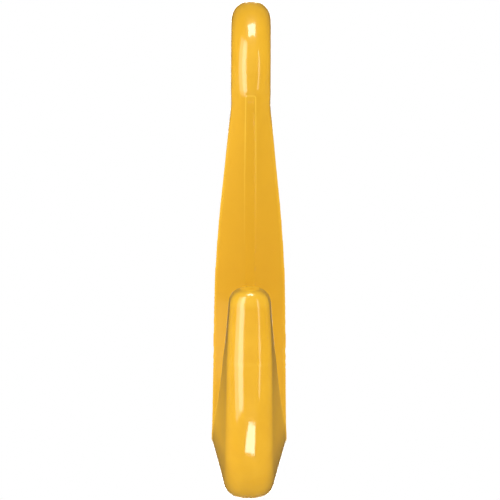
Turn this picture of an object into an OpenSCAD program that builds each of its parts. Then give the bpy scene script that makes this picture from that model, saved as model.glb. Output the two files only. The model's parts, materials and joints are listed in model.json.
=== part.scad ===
// Eye foundry hook for a chain sling: one drop-forged steel hook, painted all over.
// It is one forging, drawn here in four zones that meet on flat sections: eye, shank, bowl and point.
// X runs through the thickness, the throat opens towards -Y, and +Z is up along the load line.
// The origin is the centre of the hole in the eye.

/* [Eye] */
// Radius of the hole in the eye
eye_bore_r = 13.5; // [12.5:0.5:14.5]
// Outside radius of the eye
eye_outer_r = 27.6; // [27:0.2:29]
// Thickness of the eye, which has a round outer edge
eye_thickness = 16.4; // [15.6:0.2:17]

/* [Throat] */
// Drop from the eye's centre to the centre of the bowl
bowl_drop = 111; // [106:1:116]
// Radius of the saddle, which carries the load
saddle_r = 37.5; // [36:0.5:39]
// Outward lean of the point, in degrees
point_flare = 10; // [4:1:14]
// Length of the straight inner face of the point
point_rise = 21.4; // [18:0.2:25]

/* [Section] */
// Width of the bowl at its widest line
bowl_width = 31.2; // [29:0.2:33]
// Depth of the bowl, from the saddle to its outer nose
bowl_depth = 28.8; // [27:0.2:31]
// Depth of the neck, where the shank is slimmest
neck_depth = 21.5; // [20:0.5:23]
// Radius of the hollow between the eye and the back of the neck
neck_fillet = 12; // [10:1:14]

/* [Hidden] */
paint = [0.94, 0.68, 0.13];

neck_stations = 22;
shank_stations = 10;
bowl_stations = 30;
point_stations = 10;
dome_stations = 9;
crown_points = 8;
nose_points = 8;

// The shank's inner face starts a little inside the eye's edge, so that the two join without a step.
sink = 0.3;
edge_r = eye_thickness / 2;
ring_r = eye_outer_r - edge_r;
reach = eye_outer_r - sink;

// The inner face is a straight line from the eye, an arc round the bowl, and a straight line up the point.
lean = asin((reach + saddle_r) / bowl_drop);
tip_heading = -180 + point_flare;
shank_len = bowl_drop * cos(lean);
dome_len = 8;
dome_turn = 84;
dome_power = 0.85;
dome_edge_power = 0.4;

// Places along the hook: 0 eye, 1 end of the shank, 2 saddle, 3 end of the bowl, 4 top of the point.
neck_end = 0.46;
shank_end = 1.02;
bowl_end = 2.8;

// One row for each key section:
// place, half width, depth, crown height, half ridge, crown roundness, nose radius, half nose flat
KEYS = [
    [0.00, 7.8, neck_depth, 7.0, 1.7, 1.75, 7.4, 0.3],
    [0.30, 10.1, neck_depth, 5.0, 2.0, 1.40, 8.2, 0.7],
    [0.65, 12.85, 23.6, 4.0, 2.0, 1.30, 8.6, 1.0],
    [1.00, 14.6, 25.8, 3.4, 2.0, 1.25, 8.9, 1.3],
    [1.45, 15.1, 27.8, 3.3, 2.0, 1.25, 9.1, 1.5],
    [2.00, bowl_width / 2, bowl_depth, 3.3, 2.0, 1.25, 9.1, 1.7],
    [2.40, 15.2, 28.2, 3.4, 2.0, 1.30, 9.2, 1.2],
    [2.65, 13.2, 26.8, 4.0, 2.0, 1.40, 9.3, 0.7],
    [3.00, 10.9, 24.2, 5.0, 2.0, 1.60, 9.0, 0.5],
    [3.50, 9.65, 21.8, 5.4, 1.8, 1.80, 8.6, 0.4],
    [4.00, 8.8, 19.6, 5.4, 1.6, 2.00, 8.0, 0.3]
];

// Direction of travel along the hook, and the direction from the throat outwards, both as [y, z]
function travel(heading) = [sin(heading), -cos(heading)];
function outward(heading) = [cos(heading), sin(heading)];

// Smooth change between the key sections
function before(place) = max([for (i = [0 : len(KEYS) - 2]) if (KEYS[i][0] <= place) i]);
function chord(a, b) = (KEYS[b] - KEYS[a]) / (KEYS[b][0] - KEYS[a][0]);
function trend(i) = chord(max(i - 1, 0), min(i + 1, len(KEYS) - 1));
function measures(place) =
    let (i = before(place), gap = KEYS[i + 1][0] - KEYS[i][0], t = (place - KEYS[i][0]) / gap)
    let (t2 = t * t, t3 = t2 * t)
    KEYS[i] * (2 * t3 - 3 * t2 + 1) + KEYS[i + 1] * (3 * t2 - 2 * t3)
        + trend(i) * gap * (t3 - 2 * t2 + t) + trend(i + 1) * gap * (t3 - t2);

// Heading and position of the inner face at a place
function heading_at(place) =
    place <= 1 ? lean
    : place <= 2 ? lean - (place - 1) * (lean + 90)
    : place <= 3 ? -90 - (place - 2) * (90 - point_flare)
    : tip_heading;
function position_at(place) =
    place <= 1 ? -reach * outward(lean) + place * shank_len * travel(lean)
    : [0, -bowl_drop] + saddle_r * outward(heading_at(place))
        + max(place - 3, 0) * point_rise * travel(tip_heading);

// Depth of the section, with the hollow that joins the back of the neck to the eye
hollow_u = neck_depth + neck_fillet;
hollow_s = sqrt(pow(eye_outer_r + neck_fillet, 2) - pow(hollow_u - reach, 2));
hollow_share = 0.98;
function depth_at(place) =
    let (s = place * shank_len, short = hollow_s - s, flat = measures(place)[2])
    place > 1 || short <= 0 ? flat
    : flat + neck_fillet * (1 - sqrt(1 - pow(min(short / neck_fillet, hollow_share), 2)));

// Half outline from the ridge to the nose, as [distance from the inner face, half width]
function half_outline(place) =
    let (m = measures(place), width = m[1], deep = depth_at(place), crown = m[3], ridge = m[4])
    let (power = 2 / m[5], r = m[6], flat = m[7])
    let (along = deep - r - crown, across = width - flat)
    let (taper = acos(r / norm([along, across])) - atan2(along, across))
    concat(
        [for (i = [0 : crown_points - 1]) let (a = 90 * i / (crown_points - 1))
            [crown * (1 - pow(cos(a), power)), ridge + (width - ridge) * pow(sin(a), power)]],
        [for (i = [0 : nose_points - 1]) let (a = taper + (90 - taper) * i / (nose_points - 1))
            [deep - r + r * sin(a), flat + r * cos(a)]]
    );

// Closed section in space; narrow and shallow draw it in about its middle for the domed end of the point
function section(place, narrow = 1, shallow = 1, lift = 0) =
    let (half = half_outline(place), middle = depth_at(place) / 2, heading = heading_at(place))
    let (full = concat(half, [for (i = [len(half) - 1 : -1 : 0]) [half[i][0], -half[i][1]]]))
    [for (q = full)
        let (u = middle + (q[0] - middle) * shallow)
        let (yz = position_at(place) + u * outward(heading) + lift * travel(heading))
        [q[1] * narrow, yz[0], yz[1]]];

// Solid through a list of sections
module loft(sections) {
    count = len(sections[0]);
    last = len(sections) - 1;
    skin = [for (j = [0 : last - 1]) for (i = [0 : count - 1])
        let (k = (i + 1) % count, row = j * count)
        each [[row + i, row + k, row + count + i], [row + k, row + count + k, row + count + i]]];
    start_cap = [for (i = [count - 1 : -1 : 0]) i];
    end_cap = [for (i = [0 : count - 1]) last * count + i];
    polyhedron([for (s = sections) each s], concat([start_cap, end_cap], skin));
}

function places(from, to, steps) = [for (i = [0 : steps]) from + (to - from) * i / steps];

// Ring of the eye, forged round
module eye_ring() {
    rotate([0, 90, 0])
        rotate_extrude($fn = 72)
            translate([ring_r, 0])
                circle(r = edge_r, $fn = 28);
}

// Keeps the neck out of the ring's rounded inner edges: two cones that meet in the middle
module neck_relief() {
    waist_r = eye_bore_r + 0.5;
    mouth_r = eye_outer_r - 6;
    for (side = [-90, 90])
        rotate([0, side, 0])
            cylinder(r1 = waist_r, r2 = mouth_r, h = 1.25 * edge_r, $fn = 72);
}

module eye() {
    color(paint)
        difference() {
            union() {
                eye_ring();
                difference() {
                    loft([for (p = places(0.02, neck_end, neck_stations)) section(p)]);
                    neck_relief();
                }
            }
            rotate([0, 90, 0])
                cylinder(r = eye_bore_r, h = 2 * eye_thickness, center = true, $fn = 96);
        }
}

module shank() {
    color(paint)
        loft([for (p = places(neck_end, shank_end, shank_stations)) section(p)]);
}

module bowl() {
    color(paint)
        loft([for (p = places(shank_end, bowl_end, bowl_stations)) section(p)]);
}

// The point ends in a dome that is round across its width and squarer from front to back
module point() {
    straight = [for (p = places(bowl_end, 4, point_stations)) section(p)];
    dome = [for (i = [1 : dome_stations])
        let (a = dome_turn * i / dome_stations)
        let (narrow = pow(cos(a), dome_power), shallow = pow(cos(a), dome_edge_power))
        section(4, narrow, shallow, dome_len * pow(sin(a), dome_power))];
    color(paint)
        loft(concat(straight, dome));
}

eye();
shank();
bowl();
point();
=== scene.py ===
import json
import math
import bmesh
import bpy
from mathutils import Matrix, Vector
from mathutils.kdtree import KDTree


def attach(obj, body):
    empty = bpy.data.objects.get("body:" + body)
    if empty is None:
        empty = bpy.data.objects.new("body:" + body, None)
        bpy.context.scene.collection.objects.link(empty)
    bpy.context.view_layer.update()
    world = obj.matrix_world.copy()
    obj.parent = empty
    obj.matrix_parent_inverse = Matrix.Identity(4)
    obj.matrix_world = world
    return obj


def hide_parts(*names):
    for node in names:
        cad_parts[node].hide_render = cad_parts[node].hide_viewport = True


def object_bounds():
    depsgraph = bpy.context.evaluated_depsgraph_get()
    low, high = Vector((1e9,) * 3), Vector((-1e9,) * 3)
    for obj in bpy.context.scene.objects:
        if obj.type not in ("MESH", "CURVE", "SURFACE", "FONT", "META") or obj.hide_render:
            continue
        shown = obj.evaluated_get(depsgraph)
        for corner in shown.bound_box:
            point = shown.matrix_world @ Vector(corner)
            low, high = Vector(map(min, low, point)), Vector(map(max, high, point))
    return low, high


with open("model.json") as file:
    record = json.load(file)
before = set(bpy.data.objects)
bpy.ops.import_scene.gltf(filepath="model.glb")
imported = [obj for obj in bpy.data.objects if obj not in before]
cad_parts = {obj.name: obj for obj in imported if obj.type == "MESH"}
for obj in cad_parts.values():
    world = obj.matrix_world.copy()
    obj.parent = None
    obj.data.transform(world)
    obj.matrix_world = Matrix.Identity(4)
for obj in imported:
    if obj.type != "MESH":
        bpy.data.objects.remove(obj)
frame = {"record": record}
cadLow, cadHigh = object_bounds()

mm = 0.001

# One forging: everything is worked out from the eye at the origin and the saddle under it.
# X is the thickness, -Y is the open side, Z is up the load line.

mounts = {m["name"]: m for m in frame["record"]["mounts"]}
boreR = mounts["eye_bore"]["dims"]["r_mm"] * mm
saddleZ = mounts["saddle"]["pos_m"][2]


def clearSelection():
    if bpy.context.object and bpy.context.object.mode != "OBJECT":
        bpy.ops.object.mode_set(mode="OBJECT")
    bpy.ops.object.select_all(action="DESELECT")


def pick(obj):
    clearSelection()
    obj.select_set(True)
    bpy.context.view_layer.objects.active = obj


def named(name):
    obj = bpy.context.active_object
    obj.name = name
    obj.data.name = name
    return obj


def applyModifier(obj, kind, **values):
    pick(obj)
    modifier = obj.modifiers.new(kind.title(), kind)
    for key, value in values.items():
        setattr(modifier, key, value)
    bpy.ops.object.modifier_apply(modifier=modifier.name)


def cutAway(obj, cutter):
    applyModifier(obj, "BOOLEAN", operation="DIFFERENCE", solver="EXACT", object=cutter)
    bpy.data.objects.remove(cutter)


def smoothstep(x):
    x = min(max(x, 0.0), 1.0)
    return x * x * (3 - 2 * x)


hook = {
    "eyeR": cadHigh.z,          # outside radius of the eye
    "eyeEdge": 8.2 * mm,        # half thickness of the eye's round stock
    "saddleR": 37.5 * mm,       # inside radius of the bowl
    "flare": math.radians(10),  # outward lean of the point
    "rise": 21.4 * mm,          # straight part of the point
    "dome": 8 * mm,             # rounded end of the point
    "sink": 0.3 * mm,           # the shank starts this far inside the eye's edge
    "neckDepth": 21.5 * mm,     # slimmest depth of the neck
    "hollowR": 12 * mm,         # hollow between the eye and the back of the neck
    "hollowShare": 0.98,        # the hollow stops just short of its full quarter turn
    "crownPoints": 15,          # points round half a section: throat side, flank and nose
    "sidePoints": 6,
    "nosePoints": 15,
    "domeTurn": math.radians(84),
    "domePower": 0.85,          # the dome is round across its width
    "domeEdge": 0.4,            # and squarer from front to back
    "firstPlace": 0.02,         # the bar starts just inside the eye
    "shankSteps": 44,           # sections along each stretch
    "bowlSteps": 80,
    "pointSteps": 12,
    "domeSteps": 12,
    "reliefDeep": 1.25,         # neck cutters: depth as a share of eyeEdge
    "reliefWaist": 0.5 * mm,    # wider than the bore by this in the middle
    "reliefMouth": 6 * mm,      # narrower than the eye by this outside
    "reliefOverlap": 0.01 * mm,
}
reach = hook["eyeR"] - hook["sink"]
ringR = hook["eyeR"] - hook["eyeEdge"]
bowlZ = saddleZ + hook["saddleR"]
lean = math.asin((reach + hook["saddleR"]) / -bowlZ)
shankLength = -bowlZ * math.cos(lean)

# Key sections, in mm: place, half width, depth, crown height, half ridge, roundness, nose radius, nose flat.
# Places are 0 at the eye, 1 and 3 where the bowl starts and ends, 2 at the saddle, 4 near the point's top.
keySections = [
    (0.00, 7.8, 21.5, 7.0, 1.7, 1.75, 7.4, 0.3),
    (0.30, 10.1, 21.5, 5.0, 2.0, 1.40, 8.2, 0.7),
    (0.65, 12.85, 23.6, 4.0, 2.0, 1.30, 8.6, 1.0),
    (1.00, 14.6, 25.8, 3.4, 2.0, 1.25, 8.9, 1.3),
    (1.45, 15.1, 27.8, 3.3, 2.0, 1.25, 9.1, 1.5),
    (2.00, 15.6, 28.8, 3.3, 2.0, 1.25, 9.1, 1.7),
    (2.40, 15.2, 28.2, 3.4, 2.0, 1.30, 9.2, 1.2),
    (2.65, 13.2, 26.8, 4.0, 2.0, 1.40, 9.3, 0.7),
    (3.00, 10.9, 24.2, 5.0, 2.0, 1.60, 9.0, 0.5),
    (3.50, 9.65, 21.8, 5.4, 1.8, 1.80, 8.6, 0.4),
    (4.00, 8.8, 19.6, 5.4, 1.6, 2.00, 8.0, 0.3),
]


def travel(heading):
    return Vector((0, math.sin(heading), -math.cos(heading)))


def outward(heading):
    return Vector((0, math.cos(heading), math.sin(heading)))


def keySlope(i, column):
    a, b = keySections[max(i - 1, 0)], keySections[min(i + 1, len(keySections) - 1)]
    return (b[column] - a[column]) / (b[0] - a[0])


def measure(place, column):
    i = max(k for k in range(len(keySections) - 1) if keySections[k][0] <= place)
    a, b = keySections[i], keySections[i + 1]
    gap = b[0] - a[0]
    t = (place - a[0]) / gap
    value = a[column] * (2 * t**3 - 3 * t**2 + 1) + b[column] * (3 * t**2 - 2 * t**3)
    value += keySlope(i, column) * gap * (t**3 - 2 * t**2 + t)
    return value + keySlope(i + 1, column) * gap * (t**3 - t**2)


def headingAt(place):
    quarter = math.pi / 2
    if place <= 1:
        return lean
    if place <= 2:
        return lean - (place - 1) * (lean + quarter)
    return -quarter - min(place - 2, 1) * (quarter - hook["flare"])


def innerPoint(place):
    if place <= 1:
        return -reach * outward(lean) + place * shankLength * travel(lean)
    onBowl = Vector((0, 0, bowlZ)) + hook["saddleR"] * outward(headingAt(place))
    return onBowl + max(place - 3, 0) * hook["rise"] * travel(headingAt(place))


def depthAt(place):
    depth = measure(place, 2) * mm
    hollowAcross = hook["neckDepth"] + hook["hollowR"] - reach
    hollowAlong = math.sqrt((hook["eyeR"] + hook["hollowR"]) ** 2 - hollowAcross**2)
    short = min((hollowAlong - place * shankLength) / hook["hollowR"], hook["hollowShare"])
    if place > 1 or short <= 0:
        return depth
    return depth + hook["hollowR"] * (1 - math.sqrt(1 - short**2))


def halfOutline(place):
    depth = depthAt(place)
    width, crown, ridge = (measure(place, c) * mm for c in (1, 3, 4))
    power = 2 / measure(place, 5)
    noseR, noseFlat = measure(place, 6) * mm, measure(place, 7) * mm
    along, across = depth - noseR - crown, width - noseFlat
    taper = math.acos(noseR / math.hypot(along, across)) - math.atan2(along, across)
    points = []
    for i in range(hook["crownPoints"]):
        a = math.pi / 2 * i / (hook["crownPoints"] - 1)
        side = ridge + (width - ridge) * math.sin(a) ** power
        points.append((crown * (1 - max(math.cos(a), 0) ** power), side))
    for i in range(1, hook["sidePoints"] + 1):  # the flat side
        sideLength = depth - noseR + noseR * math.sin(taper) - crown
        u = crown + sideLength * i / (hook["sidePoints"] + 1)
        points.append((u, width - (u - crown) * math.tan(taper)))
    for i in range(hook["nosePoints"]):
        a = taper + (math.pi / 2 - taper) * i / (hook["nosePoints"] - 1)
        points.append((depth - noseR + noseR * math.sin(a), noseFlat + noseR * math.cos(a)))
    return points


def sectionAt(place, narrow=1.0, shallow=1.0, lift=0.0):
    half = halfOutline(place)
    whole = half + [(u, -x) for u, x in reversed(half)]
    middle, heading = depthAt(place) / 2, headingAt(place)
    base = innerPoint(place) + lift * travel(heading)
    ring = []
    for u, x in whole:
        ring.append(base + (middle + (u - middle) * shallow) * outward(heading) + Vector((x * narrow, 0, 0)))
    return ring


def drawBar():
    places = [hook["firstPlace"]]
    for end, steps in ((1, hook["shankSteps"]), (3, hook["bowlSteps"]), (4, hook["pointSteps"])):
        start = places[-1]
        places += [start + (end - start) * i / steps for i in range(1, steps + 1)]
    rings = [sectionAt(p) for p in places]
    for i in range(1, hook["domeSteps"] + 1):
        a, power = hook["domeTurn"] * i / hook["domeSteps"], hook["domePower"]
        lift = hook["dome"] * math.sin(a) ** power
        rings.append(sectionAt(4, math.cos(a) ** power, math.cos(a) ** hook["domeEdge"], lift))
    clearSelection()
    bpy.ops.mesh.primitive_circle_add(vertices=len(rings[0]), radius=hook["eyeEdge"], fill_type="NGON")
    bar = named("forged_bar")
    bpy.ops.object.mode_set(mode="EDIT")
    bpy.ops.mesh.select_mode(type="FACE")
    bpy.ops.mesh.select_all(action="SELECT")
    for step, ring in enumerate(rings):
        if step:
            bpy.ops.mesh.extrude_region_move()  # the end face goes on to the next section
        end = next(f for f in bmesh.from_edit_mesh(bar.data).faces if f.select)
        for vert, place in zip(end.verts, ring):
            vert.co = place
    bpy.ops.mesh.select_mode(type="EDGE")
    bpy.ops.mesh.select_all(action="DESELECT")
    bpy.ops.mesh.select_non_manifold()
    bpy.ops.mesh.edge_face_add()  # closes the end inside the eye
    bpy.ops.mesh.select_all(action="SELECT")
    bpy.ops.mesh.normals_make_consistent(inside=False)
    bpy.ops.object.mode_set(mode="OBJECT")
    for side in (-1, 1):  # keeps the neck out of the eye's rounded inner edges
        deep = hook["reliefDeep"] * hook["eyeEdge"]
        clearSelection()
        bpy.ops.mesh.primitive_cone_add(
            vertices=160, radius1=boreR + hook["reliefWaist"], radius2=hook["eyeR"] - hook["reliefMouth"],
            depth=deep, location=(side * (deep / 2 - hook["reliefOverlap"]), 0, 0),
            rotation=(0, side * math.pi / 2, 0))
        cutAway(bar, named("neck_cutter"))
    return bar


def makeEye():
    clearSelection()
    bpy.ops.mesh.primitive_torus_add(
        major_radius=ringR, minor_radius=hook["eyeEdge"], major_segments=180, minor_segments=72,
        rotation=(0, math.pi / 2, 0))
    eye = named("forged_eye")
    bpy.ops.object.transform_apply(location=False, rotation=True, scale=False)
    clearSelection()
    bpy.ops.mesh.primitive_cylinder_add(
        vertices=240, radius=boreR, depth=4 * hook["eyeEdge"], rotation=(0, math.pi / 2, 0))
    cutAway(eye, named("bore_cutter"))
    return eye


skin = {
    "voxel": 0.68 * mm,
    "creaseDepth": 0.028 * mm,   # a hollow sharper than this is a crease
    "blendReach": 8 * mm,        # how far from the crease the blend goes
    "blendPasses": 80,
    "boreClear": 2 * mm,         # creases nearer the bore than this don't count
    "boreFade": 3 * mm,          # the blend fades in over this far from the bore
    "frontPasses": 24,           # smoothing where the land runs on to the eye
    "frontMiddle": 2 * mm,       # its middle, down the shank from the eye's centre
    "frontReach": 10 * mm,       # how far it goes up and down, and the fade at its ends
    "frontFade": 6 * mm,
    "frontHalf": 5 * mm,         # how far it goes to each side, and the fade there
    "frontHalfFade": 3 * mm,
    "frontDeep": 1.5 * mm,       # and how deep
    "finish": 2,                 # light passes over everything
    "forgeDepth": 0.06 * mm,     # soft unevenness left by the dies
    "forgeMiddle": 1.5,          # it only ever takes metal away
    "forgeScale": 11 * mm,
    "landTop": -11.9 * mm,       # the trimmed parting land starts here, on the eye
    "landHalf": 2.0 * mm,
    "landWiden": 0.35 * mm,      # wider by this at the end of landRun, down the shank
    "landRun": 33 * mm,
    "landCorner": 0.9 * mm,
    "landProud": 0.05 * mm,
    "landSlope": 1.3 * mm,       # width of the soft step round it
    "landFlat": 0.10 * mm,       # its flat on the eye lies this far inside the eye's radius
    "landFlatEdge": 0.5 * mm,    # how far the flat runs past the outline
    "landFlatSide": 0.6 * mm,    # how fast it fades at the sides
    "landFlatTop": 2 * mm,       # and at its top
    "innerDeep": 1.6 * mm,       # the inner face goes this deep, and fades over innerFade
    "innerFade": 0.8 * mm,
    "throatTop": 7 * mm,         # the duller side starts this far above the eye's centre line
    "throatTopFade": 4 * mm,
    "throatDeep": 6.5 * mm,
    "throatFade": 2.5 * mm,
    "reliefSpread": 4,           # passes that spread the marks of edges and hollows
    "reliefFull": 0.038 * mm,    # an edge this sharp gets the full painted highlight, a hollow this sharp the full painted shade
}


def hollowness(mesh):
    work = bmesh.new()
    work.from_mesh(mesh)
    work.normal_update()
    values = []
    for vert in work.verts:
        near = [e.other_vert(vert).co for e in vert.link_edges]
        middle = sum(near, Vector()) / len(near)
        values.append((middle - vert.co).dot(vert.normal))
    work.free()
    return values


def blendNeck(obj):
    mesh = obj.data
    deep = hollowness(mesh)
    neckEnd = hook["eyeR"] + hook["hollowR"]
    crease = []
    for vert, value in zip(mesh.vertices, deep):
        fromEye = math.hypot(vert.co.y, vert.co.z)
        if value > skin["creaseDepth"] and boreR + skin["boreClear"] < fromEye < neckEnd:
            crease.append(vert.co.copy())
    print("neck crease points:", len(crease))
    tree = KDTree(len(crease))
    for i, place in enumerate(crease):
        tree.insert(place, i)
    tree.balance()
    group = obj.vertex_groups.new(name="neck_blend")
    for vert in mesh.vertices:
        if vert.co.z > 0 or vert.co.length > neckEnd + skin["blendReach"]:
            continue
        gap = tree.find(vert.co)[2]
        weight = smoothstep(1 - gap / skin["blendReach"])
        weight *= smoothstep((math.hypot(vert.co.y, vert.co.z) - boreR) / skin["boreFade"])
        if weight > 0:
            group.add([vert.index], weight, "REPLACE")
    applyModifier(obj, "SMOOTH", factor=0.6, iterations=skin["blendPasses"], vertex_group="neck_blend")
    group = obj.vertex_groups.new(name="front_join")
    for vert in mesh.vertices:
        along = abs(vert.co.dot(travel(lean)) - skin["frontMiddle"])
        weight = smoothstep((skin["frontReach"] - along) / skin["frontFade"])
        weight *= smoothstep((skin["frontHalf"] - abs(vert.co.x)) / skin["frontHalfFade"])
        if weight > 0 and abs(fromThroat(vert.co)) < skin["frontDeep"]:
            group.add([vert.index], weight, "REPLACE")
    applyModifier(obj, "SMOOTH", factor=0.5, iterations=skin["frontPasses"], vertex_group="front_join")


def unevenSkin(obj):
    clouds = bpy.data.textures.new("die_marks", "CLOUDS")
    clouds.noise_scale = skin["forgeScale"]
    clouds.noise_depth = 1
    applyModifier(obj, "DISPLACE", texture=clouds, texture_coords="LOCAL",
                  strength=skin["forgeDepth"], mid_level=skin["forgeMiddle"])
    bpy.data.textures.remove(clouds)


def fromThroat(place):
    # how far a place lies behind the face that looks into the throat
    along, depth = place.dot(travel(lean)), place.dot(outward(lean)) + reach
    if along < -2 * hook["eyeEdge"]:
        return 1.0
    if along < shankLength and depth > -hook["eyeEdge"]:
        return depth
    end = headingAt(4)
    if place.y < 0 and (place - innerPoint(3)).dot(travel(end)) > 0:
        return (place - innerPoint(3)).dot(outward(end))
    return math.hypot(place.y, place.z - bowlZ) - hook["saddleR"]


def innerFace(place):
    return smoothstep((skin["innerDeep"] - abs(fromThroat(place))) / skin["innerFade"])


def throatSide(place):
    # 1 on the whole crowned side that looks into the throat, 0 on the eye and the flanks
    below = smoothstep((place.dot(travel(lean)) + skin["throatTop"]) / skin["throatTopFade"])
    return below * smoothstep((skin["throatDeep"] - fromThroat(place)) / skin["throatFade"])


def onLand(place):
    # 1 on the parting land, 0 off it: a strip with a round-cornered top end
    wide = skin["landHalf"] + skin["landWiden"] * min((skin["landTop"] - place.z) / skin["landRun"], 1)
    across = max(abs(place.x) - wide + skin["landCorner"], 0)
    up = max(place.z - skin["landTop"] + skin["landCorner"], 0)
    outside = math.hypot(across, up) - skin["landCorner"]
    return smoothstep(0.5 - outside / skin["landSlope"]) * innerFace(place)


def shapeLand(obj):
    # the top of the land is a flat on the eye's round edge, and all of it stands a little proud
    for vert in obj.data.vertices:
        place = vert.co
        if place.y < 0 and place.z > -reach and innerFace(place) > 0:
            edge = skin["landFlatEdge"]
            across = smoothstep((skin["landHalf"] + edge - abs(place.x)) / skin["landFlatSide"])
            below = smoothstep((skin["landTop"] + edge - place.z) / skin["landFlatTop"])
            fromEye = math.hypot(place.y, place.z)
            lift = max(hook["eyeR"] - skin["landFlat"] - fromEye, 0) * across * below
            place.y *= 1 + lift / fromEye
            place.z *= 1 + lift / fromEye
    obj.data.update()
    ways = [vert.normal.copy() for vert in obj.data.vertices]
    for vert, way in zip(obj.data.vertices, ways):
        vert.co += way * skin["landProud"] * onLand(vert.co)


def storeMarks(obj):
    mesh = obj.data
    tone = [max(-1.0, min(1.0, v / skin["reliefFull"])) for v in hollowness(mesh)]
    near = [[] for _ in mesh.vertices]
    for edge in mesh.edges:
        a, b = edge.vertices
        near[a].append(b)
        near[b].append(a)
    for _ in range(skin["reliefSpread"]):
        tone = [(t + sum(tone[j] for j in n)) / (len(n) + 1) for t, n in zip(tone, near)]
    mesh.attributes.new("relief", "FLOAT", "POINT").data.foreach_set("value", tone)
    for name, mark in (("inner_face", innerFace), ("throat_side", throatSide)):
        values = [mark(vert.co) for vert in mesh.vertices]
        mesh.attributes.new(name, "FLOAT", "POINT").data.foreach_set("value", values)


def makeHook():
    bar, eye = drawBar(), makeEye()
    print("bar and eye drawn:", len(bar.data.polygons), "+", len(eye.data.polygons), "faces")
    pick(bar)
    eye.select_set(True)
    bpy.ops.object.join()
    pattern = named("hook_pattern")
    pick(pattern)
    bpy.ops.object.duplicate()
    body = named("hook_forging")
    applyModifier(body, "REMESH", mode="VOXEL", voxel_size=skin["voxel"])
    applyModifier(body, "SHRINKWRAP", target=pattern, wrap_method="NEAREST_SURFACEPOINT")
    bpy.data.objects.remove(pattern)
    blendNeck(body)
    applyModifier(body, "SMOOTH", factor=0.5, iterations=skin["finish"])
    shapeLand(body)
    unevenSkin(body)
    body.vertex_groups.clear()
    storeMarks(body)
    pick(body)
    bpy.ops.object.shade_smooth()
    print("hook skin:", len(body.data.polygons), "faces")
    return body


paint = {
    "colour": (0.80, 0.425, 0.019, 1),
    "deeper": (0.772, 0.400, 0.017, 1),   # where the mottle is deepest
    "rim": (0.90, 0.56, 0.050, 1),        # painted highlight: the lighter line round the sharp rim of the land
    "edgeHighlight": (0.84, 0.48, 0.030, 1),       # painted highlight: lighter colour on sharp edges
    "hollowShade": (0.70, 0.34, 0.010, 1),     # painted shade: darker colour in hollows
    "throatShadeColour": (0.71, 0.37, 0.016, 1),        # painted shade: darker colour on the throat side
    "roughness": 0.365,
    "roughnessSpread": 0.035,
    "shine": 0.12,                        # the pigment layer itself is nearly flat
    "coat": 1.0,                          # the gloss is all in the clear top film
    "dryCoat": 0.08,                      # the throat side got little of it
    "dryRoughness": 0.25,                 # and is this much rougher
    "throatShadeShare": 0.7,                      # and gets this much of the painted shade colour
    "coatRoughness": 0.12,
    "edgeRelief": (-0.25, -0.8),          # how sharp an edge is where the painted edge highlight starts and where it is full
    # how deep a hollow is where the painted shade in hollows starts and where it is full
    "hollowRelief": (0.08, 0.5),
    "mottleSize": 9 * mm,
    "mottleSpan": (0.35, 0.65),
    "peelSize": 1.3 * mm,
    "peelDepth": 0.006 * mm,
    "waveSize": 6 * mm,
    "waveDepth": 0.014 * mm,
    "nibSize": 5 * mm,
    "nibDepth": 0.02 * mm,
    "landDepth": 0.03 * mm,               # the sharp part of the step round the land
    "landEdge": 0.5 * mm,
    "rimHighlightBand": (0.35 * mm, 0.05 * mm),    # from the outline: where the painted highlight on the rim starts, and is full
    "rimHighlightFade": (-75 * mm, -20 * mm),      # heights between which it fades in
    "rimStrength": 0.8,
    "nibRadius": 0.055,                   # share of nibSize
}


def addNode(tree, kind, links=None, **values):
    node = tree.nodes.new(kind)
    for key, value in values.items():
        if hasattr(node, key) and key not in node.inputs:
            setattr(node, key, value)
        else:
            node.inputs[key.replace("_", " ")].default_value = value
    for socket, source in (links or {}).items():
        tree.links.new(source, node.inputs[socket])
    return node


def maths(tree, operation, *terms):
    node = tree.nodes.new("ShaderNodeMath")
    node.operation = operation
    for socket, term in zip(node.inputs, terms):
        if isinstance(term, (int, float)):
            socket.default_value = term
        else:
            tree.links.new(term, socket)
    return node.outputs["Value"]


def mapped(tree, source, low, high, start=0.0, end=1.0, soft=False):
    node = addNode(tree, "ShaderNodeMapRange", {"Value": source},
                   From_Min=low, From_Max=high, To_Min=start, To_Max=end)
    node.interpolation_type = "SMOOTHSTEP" if soft else "LINEAR"
    return node.outputs["Result"]


def mixColour(tree, factor, first, second):
    node = tree.nodes.new("ShaderNodeMix")
    node.data_type = "RGBA"
    tree.links.new(factor, node.inputs["Factor"])
    for socket, value in ((node.inputs[6], first), (node.inputs[7], second)):
        if isinstance(value, tuple):
            socket.default_value = value
        else:
            tree.links.new(value, socket)
    return node.outputs[2]


def landShape(tree, place):
    # distance to the outline of the parting land: a strip with a round-cornered top end
    parts = addNode(tree, "ShaderNodeSeparateXYZ", {"Vector": place})
    narrow = skin["landHalf"] - skin["landCorner"]
    half = mapped(tree, parts.outputs["Z"], skin["landTop"], skin["landTop"] - skin["landRun"],
                  narrow, narrow + skin["landWiden"])
    across = maths(tree, "SUBTRACT", maths(tree, "ABSOLUTE", parts.outputs["X"]), half)
    across = maths(tree, "MAXIMUM", across, 0.0)
    up = maths(tree, "SUBTRACT", parts.outputs["Z"], skin["landTop"] - skin["landCorner"])
    up = maths(tree, "MAXIMUM", up, 0.0)
    square = maths(tree, "ADD", maths(tree, "MULTIPLY", across, across), maths(tree, "MULTIPLY", up, up))
    outside = maths(tree, "SUBTRACT", maths(tree, "SQRT", square), skin["landCorner"])
    return outside, parts.outputs["Z"]


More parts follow.
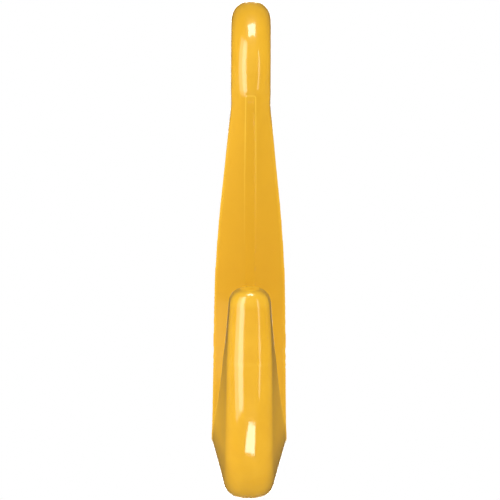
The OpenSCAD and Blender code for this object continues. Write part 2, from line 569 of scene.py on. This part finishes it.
def yellowPaint():
    material = bpy.data.materials.new("yellow_paint")
    material.use_nodes = True
    tree = material.node_tree
    tree.nodes.clear()
    place = addNode(tree, "ShaderNodeTexCoord").outputs["Object"]
    relief = addNode(tree, "ShaderNodeAttribute", attribute_name="relief").outputs["Fac"]
    inner = addNode(tree, "ShaderNodeAttribute", attribute_name="inner_face").outputs["Fac"]
    throat = addNode(tree, "ShaderNodeAttribute", attribute_name="throat_side").outputs["Fac"]

    mottle = addNode(tree, "ShaderNodeTexNoise", {"Vector": place}, Scale=1 / paint["mottleSize"],
                     Detail=3.0, Roughness=0.55).outputs["Fac"]
    edges = mapped(tree, relief, *paint["edgeRelief"])
    hollows = mapped(tree, relief, *paint["hollowRelief"])
    outside, height = landShape(tree, place)
    # painted highlight: a lighter line along the land's outline, fading in between two heights down the
    # shank
    rim = mapped(tree, maths(tree, "ABSOLUTE", outside), *paint["rimHighlightBand"])
    fade = mapped(tree, height, *paint["rimHighlightFade"], 0.0, paint["rimStrength"])
    rim = maths(tree, "MULTIPLY", rim, fade)
    rim = maths(tree, "MULTIPLY", rim, inner)

    colour = mixColour(tree, mapped(tree, mottle, *paint["mottleSpan"]), paint["deeper"], paint["colour"])
    # painted shade: the throat side's colour is darker
    throatShadeMix = maths(tree, "MULTIPLY", throat, paint["throatShadeShare"])
    colour = mixColour(tree, throatShadeMix, colour, paint["throatShadeColour"])
    # painted highlight: lighter colour on sharp edges
    colour = mixColour(tree, edges, colour, paint["edgeHighlight"])
    # painted shade: darker colour in hollows
    colour = mixColour(tree, hollows, colour, paint["hollowShade"])
    colour = mixColour(tree, rim, colour, paint["rim"])
    spread = paint["roughnessSpread"]
    rough = mapped(tree, mottle, 0.3, 0.7, paint["roughness"] - spread, paint["roughness"] + spread)
    rough = maths(tree, "ADD", rough, maths(tree, "MULTIPLY", throat, paint["dryRoughness"]))

    peel = addNode(tree, "ShaderNodeTexNoise", {"Vector": place}, Scale=1 / paint["peelSize"],
                   Detail=1.0, Roughness=0.4).outputs["Fac"]
    wave = addNode(tree, "ShaderNodeTexNoise", {"Vector": place}, Scale=1 / paint["waveSize"],
                   Detail=2.0, Roughness=0.5).outputs["Fac"]
    nib = addNode(tree, "ShaderNodeTexVoronoi", {"Vector": place},
                  Scale=1 / paint["nibSize"]).outputs["Distance"]
    raised = mapped(tree, outside, paint["landEdge"] / 2, -paint["landEdge"] / 2, soft=True)
    normal = None
    for shape, depth in ((maths(tree, "MULTIPLY", raised, inner), paint["landDepth"]),
                         (wave, paint["waveDepth"]), (peel, paint["peelDepth"]),
                         (mapped(tree, nib, paint["nibRadius"], 0.0), paint["nibDepth"])):
        links = {"Height": shape}
        if normal:
            links["Normal"] = normal
        normal = addNode(tree, "ShaderNodeBump", links, Distance=depth).outputs["Normal"]

    coat = mapped(tree, throat, 0.0, 1.0, paint["coat"], paint["dryCoat"])
    shader = addNode(tree, "ShaderNodeBsdfPrincipled",
                     {"Base Color": colour, "Roughness": rough, "Coat Weight": coat, "Normal": normal},
                     Specular_IOR_Level=paint["shine"], Coat_Roughness=paint["coatRoughness"])
    addNode(tree, "ShaderNodeOutputMaterial", {"Surface": shader.outputs["BSDF"]})
    return material


hookBody = makeHook()
hookBody.data.materials.clear()
hookBody.data.materials.append(yellowPaint())
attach(hookBody, "root")
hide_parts("eye", "shank", "bowl", "point")
print("hook painted and hung in the frame")


studio = {
    "floorGap": 250 * mm,       # the hook hangs clear of the floor
    "floorSize": 10.0,
    "ambient": 0.45,            # soft light from all round
    "mirrored": 0.05,           # the same room as the gloss sees it, much darker
    "cameraAway": 9.0,
    "cameraRoll": -0.28,        # degrees
    "lowAim": -30 * mm,         # the low lamp looks this far out in front of the saddle
    # lamps that the gloss shows: way they lie in, in degrees, how far, how large and how bright
    "shine": {
        "left": (-38, 1, 0.9, (0.42, 1.70), 3.6),
        "left_wide": (-50, 1, 0.9, (0.80, 1.70), 2.8),
        "right": (47, -1, 0.9, (0.11, 1.02), 4.2),
        "top": (8, 69, 0.7, (0.38, 0.28), 12.0),
        "low": (16, -67, 0.33, (0.13, 0.18), 12.0),
        "back": (180, 4, 0.9, (0.2, 0.9), 4.0),
    },
    # soft fills for the paint's own colour
    "fill": {
        "front": (0, 15, 1.3, (1.2, 1.2), 0.26),
        "left": (-42, 5, 1.3, (1.2, 1.2), 0.13),
        "right": (42, 5, 1.3, (1.2, 1.2), 0.15),
        "left_side": (-106, -5, 1.3, (0.9, 0.4), 0.54),
        "right_side": (114, -5, 1.3, (0.9, 0.4), 0.38),
        "overhead": (0, 70, 1.3, (1.2, 1.2), 0.60),
        "under": (0, -60, 0.33, (0.3, 0.3), 0.15),
        "back": (180, 15, 1.3, (1.2, 1.2), 0.31),
    },
}


def whiteRoom():
    world = bpy.data.worlds.new("white_room")
    bpy.context.scene.world = world
    world.use_nodes = True
    world.cycles.sampling_method = "NONE"
    tree = world.node_tree
    tree.nodes.clear()
    rays = addNode(tree, "ShaderNodeLightPath")
    strength = mapped(tree, rays.outputs["Is Glossy Ray"], 0, 1, studio["ambient"], studio["mirrored"])
    strength = maths(tree, "MAXIMUM", strength, rays.outputs["Is Camera Ray"])
    room = addNode(tree, "ShaderNodeBackground", {"Strength": strength}, Color=(1, 1, 1, 1))
    addNode(tree, "ShaderNodeOutputWorld", {"Surface": room.outputs["Background"]})


def paleFloor():
    clearSelection()
    bpy.ops.mesh.primitive_plane_add(
        size=studio["floorSize"], location=(0, 0, cadLow.z - studio["floorGap"]))
    floor = named("floor")
    material = bpy.data.materials.new("pale_floor")
    material.use_nodes = True
    tree = material.node_tree
    tree.nodes.clear()
    chalk = addNode(tree, "ShaderNodeBsdfDiffuse", Color=(0.86, 0.86, 0.86, 1))
    clear = addNode(tree, "ShaderNodeBsdfTransparent")
    under = addNode(tree, "ShaderNodeNewGeometry").outputs["Backfacing"]
    both = addNode(tree, "ShaderNodeMixShader")
    for socket, source in ((0, under), (1, chalk.outputs["BSDF"]), (2, clear.outputs["BSDF"])):
        tree.links.new(source, both.inputs[socket])
    addNode(tree, "ShaderNodeOutputMaterial", {"Surface": both.outputs["Shader"]})
    floor.data.materials.append(material)
    floor.visible_glossy = False


def softbox(name, use, aim, turn, rise, away, size, glow):
    turn, rise = math.radians(turn), math.radians(rise)
    way = Vector((math.sin(turn) * math.cos(rise), -math.cos(turn) * math.cos(rise), math.sin(rise)))
    light = bpy.data.lights.new(name + "_" + use, "AREA")
    light.shape = "RECTANGLE"
    light.size, light.size_y = size
    if use == "fill":  # glow is then the light that falls on a face turned to it
        light.energy = glow * math.pi**2 * away**2
    else:
        light.energy = glow * math.pi * size[0] * size[1]
    obj = bpy.data.objects.new(light.name, light)
    bpy.context.scene.collection.objects.link(obj)
    obj.location = aim + way * away
    obj.rotation_euler = (-way).to_track_quat("-Z", "Y").to_euler()
    obj.visible_camera = False
    obj.visible_diffuse = use == "fill"
    obj.visible_glossy = use == "shine"


def longCamera():
    away, height = studio["cameraAway"], cadHigh.z - cadLow.z
    camera = bpy.data.cameras.new("camera")
    camera.sensor_width = 36
    camera.lens = camera.sensor_width * away / height
    camera.clip_start, camera.clip_end = 0.1, 100
    obj = bpy.data.objects.new("camera", camera)
    bpy.context.scene.collection.objects.link(obj)
    obj.location = (0, -away, (cadHigh.z + cadLow.z) / 2)
    obj.rotation_euler = (math.pi / 2, math.radians(studio["cameraRoll"]), 0)
    bpy.context.scene.camera = obj


middle = (cadLow + cadHigh) / 2
nose = Vector((0, studio["lowAim"], saddleZ))
whiteRoom()
paleFloor()
for use in ("shine", "fill"):
    for lampName, settings in studio[use].items():
        softbox(lampName, use, nose if lampName == "low" else middle, *settings)
longCamera()
bpy.context.scene.view_settings.view_transform = "Standard"
print("studio set")
